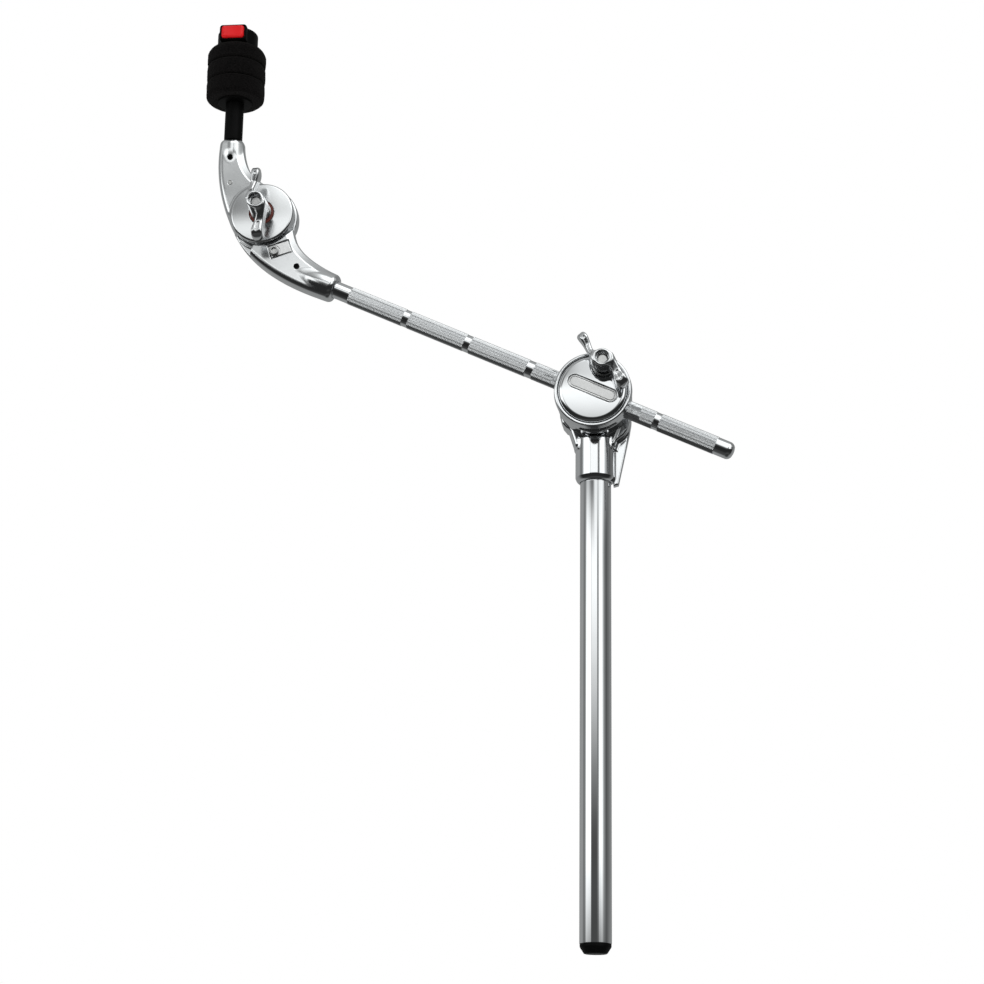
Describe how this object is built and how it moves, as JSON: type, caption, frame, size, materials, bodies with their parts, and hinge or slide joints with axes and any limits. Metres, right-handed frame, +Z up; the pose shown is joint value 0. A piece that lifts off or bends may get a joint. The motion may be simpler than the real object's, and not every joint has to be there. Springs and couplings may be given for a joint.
{
  "type": "cymbal boom stand",
  "caption": "Chrome cymbal boom arm: a post tube with a boom tilter, a knurled boom rod, and a cymbal tilter with felts and a quick-release mate.",
  "frame": {"origin": "centre of the post tube's lower rim", "axes": "+Z up along the tube; the boom lies in a plane parallel to XZ, in front of the tube at -Y, and falls towards +X"},
  "size_m": [0.3946, 0.0775, 0.6893],
  "materials": {
    "chrome_plate": "mirror-bright chrome plate",
    "plain_steel": "zinc-bright steel",
    "satin_steel": "satin nickel",
    "black_steel": "black oxide",
    "black_plastic": "black moulded plastic",
    "white_nylon": "natural nylon",
    "red_fibre": "vulcanised fibre",
    "red_plastic": "glossy red plastic",
    "black_felt": "pressed wool felt"
  },
  "bodies": {
    "post": {"tube": "chrome_plate", "tube_plug": "black_plastic", "tilter_base": "chrome_plate", "collar_pin": "plain_steel", "friction_disc": "white_nylon"},
    "boom_clamp": {"clamp_rear": "chrome_plate", "clamp_front": "chrome_plate", "dome_cover": "chrome_plate", "badge_plate": "satin_steel", "clamp_bolt": "plain_steel", "clamp_bolt_washer": "plain_steel", "clamp_spring": "plain_steel", "pivot_screw": "plain_steel", "pivot_washer": "plain_steel", "boom_wing_washer": "plain_steel"},
    "boom_wing": {"boom_wing_nut": "chrome_plate"},
    "boom": {"boom_rod": "chrome_plate"},
    "lower_tilter": {"lower_arm": "chrome_plate", "lower_set_screw": "black_steel", "lock_plate": "satin_steel", "lock_screw": "plain_steel", "tilter_bolt": "plain_steel", "lower_tooth_ring": "plain_steel", "tilter_spring": "plain_steel"},
    "tilter_wing": {"tilter_wing_nut": "chrome_plate"},
    "upper_tilter": {"upper_arm": "chrome_plate", "upper_tooth_ring": "plain_steel", "upper_set_screw": "black_steel", "stop_pin": "plain_steel", "fibre_washer": "red_fibre", "wing_spacer": "plain_steel", "cymbal_rod": "plain_steel", "stem_sleeve": "black_plastic", "seat_washer": "black_plastic", "cymbal_sleeve": "black_plastic", "lower_felt": "black_felt", "middle_felt": "black_felt"},
    "mate": {"mate_body": "black_plastic", "button_springs": "plain_steel", "upper_felt": "black_felt"},
    "front_push": {"front_button": "red_plastic", "front_slide": "plain_steel"},
    "rear_push": {"rear_button": "red_plastic", "rear_slide": "plain_steel"}
  },
  "joints": [
    {"name": "boom_tilt", "type": "hinge", "parent": "post", "child": "boom_clamp", "pos_m": [0, 0, 0.385], "axis": [0, 1, 0], "range_deg": [-45, 65]},
    {"name": "boom_wing_turn", "type": "hinge", "parent": "boom_clamp", "child": "boom_wing", "pos_m": [0.00788, -0.05, 0.40229], "axis": [0, 1, 0], "continuous": true},
    {"name": "boom_slide", "type": "slide", "parent": "boom_clamp", "child": "boom", "axis": [0.91, 0, -0.4147], "range_m": [-0.08, 0.165]},
    {"name": "boom_rod_turn", "type": "hinge", "parent": "boom", "child": "lower_tilter", "pos_m": [-0.19018, -0.022, 0.47167], "axis": [0.91, 0, -0.4147], "continuous": true},
    {"name": "tilter_wing_turn", "type": "hinge", "parent": "lower_tilter", "child": "tilter_wing", "pos_m": [-0.24582, -0.045, 0.53044], "axis": [0, 1, 0], "continuous": true},
    {"name": "cymbal_tilt", "type": "hinge", "parent": "lower_tilter", "child": "upper_tilter", "pos_m": [-0.24582, -0.022, 0.53044], "axis": [0, 1, 0], "range_deg": [-30, 90]},
    {"name": "mate_lift", "type": "slide", "parent": "upper_tilter", "child": "mate", "axis": [0, 0, 1], "range_m": [0, 0.03]},
    {"name": "front_button_press", "type": "slide", "parent": "mate", "child": "front_push", "axis": [0, 1, 0], "range_m": [0, 0.0025], "stiffness_N_per_m": 800, "springref_m": -0.0005},
    {"name": "rear_button_press", "type": "slide", "parent": "mate", "child": "rear_push", "axis": [0, -1, 0], "range_m": [0, 0.0025], "stiffness_N_per_m": 800, "springref_m": -0.0005}
  ]
}
